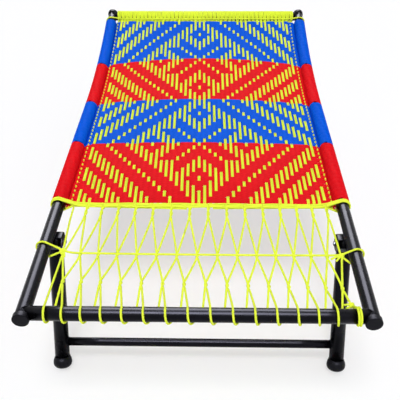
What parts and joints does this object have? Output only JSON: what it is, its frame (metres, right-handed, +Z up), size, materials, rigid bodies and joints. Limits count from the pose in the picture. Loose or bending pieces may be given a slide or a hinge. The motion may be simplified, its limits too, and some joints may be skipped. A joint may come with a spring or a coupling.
{
  "type": "folding rope charpai bed",
  "caption": "Low charpai rope bed: bent steel tube frame with a raised head end, woven rope mat, open lacing net at the foot and two folding leg frames.",
  "frame": {"origin": "middle of the bed, on the ground", "axes": "+Z up, +Y along the bed towards the raised head end, +X to the right seen from the foot end"},
  "size_m": [0.9282, 1.8244, 0.5211],
  "materials": {
    "black_painted_steel": "semi-gloss black paint",
    "black_plastic": "satin moulded plastic",
    "black_rubber": "matt moulded rubber",
    "zinc_steel": "bright zinc plate",
    "lime_rope": "twisted plastic-fibre rope, lime",
    "blue_rope": "twisted plastic-fibre rope, blue",
    "red_rope": "twisted plastic-fibre rope, red"
  },
  "bodies": {
    "bed": {"side_rail_left": "black_painted_steel", "side_rail_right": "black_painted_steel", "foot_crossbar": "black_painted_steel", "head_crossbar": "black_painted_steel", "rail_end_cap_foot_left": "black_plastic", "rail_end_cap_head_left": "black_plastic", "rail_end_cap_foot_right": "black_plastic", "rail_end_cap_head_right": "black_plastic", "pivot_bracket_foot_left": "black_painted_steel", "pivot_bolt_foot_left": "zinc_steel", "pivot_nut_foot_left": "zinc_steel", "stop_pin_foot_left": "zinc_steel", "pivot_bracket_foot_right": "black_painted_steel", "pivot_bolt_foot_right": "zinc_steel", "pivot_nut_foot_right": "zinc_steel", "stop_pin_foot_right": "zinc_steel", "pivot_bracket_head_left": "black_painted_steel", "pivot_bolt_head_left": "zinc_steel", "pivot_nut_head_left": "zinc_steel", "stop_pin_head_left": "zinc_steel", "pivot_bracket_head_right": "black_painted_steel", "pivot_bolt_head_right": "zinc_steel", "pivot_nut_head_right": "zinc_steel", "stop_pin_head_right": "zinc_steel", "mat_band_foot_red": "red_rope", "rail_wrap_foot_red_left": "red_rope", "rail_wrap_foot_red_right": "red_rope", "mat_band_middle_blue": "blue_rope", "rail_wrap_middle_blue_left": "blue_rope", "rail_wrap_middle_blue_right": "blue_rope", "mat_band_upper_red": "red_rope", "rail_wrap_upper_red_left": "red_rope", "rail_wrap_upper_red_right": "red_rope", "mat_band_head_blue": "blue_rope", "rail_wrap_head_blue_left": "blue_rope", "rail_wrap_head_blue_right": "blue_rope", "head_warp_turns": "lime_rope", "head_binding_cord": "lime_rope", "mat_edge_rope_1": "lime_rope", "mat_edge_rope_2": "lime_rope", "mat_edge_rope_3": "lime_rope", "foot_net": "lime_rope", "net_cross_cord": "lime_rope"},
    "foot_leg_frame": {"leg_foot_left": "black_painted_steel", "leg_foot_right": "black_painted_steel", "foot_cap_foot_left": "black_rubber", "foot_cap_foot_right": "black_rubber", "stretcher_foot": "black_painted_steel"},
    "head_leg_frame": {"leg_head_left": "black_painted_steel", "leg_head_right": "black_painted_steel", "foot_cap_head_left": "black_rubber", "foot_cap_head_right": "black_rubber", "stretcher_head": "black_painted_steel"}
  },
  "joints": [
    {"name": "foot_leg_fold", "type": "hinge", "parent": "bed", "child": "foot_leg_frame", "pos_m": [0, -0.56047, 0.3472], "axis": [1, 0, 0], "range_deg": [0, 115]},
    {"name": "head_leg_fold", "type": "hinge", "parent": "bed", "child": "head_leg_frame", "pos_m": [0, 0.57212, 0.37749], "axis": [-1, 0, 0], "range_deg": [0, 97]}
  ]
}
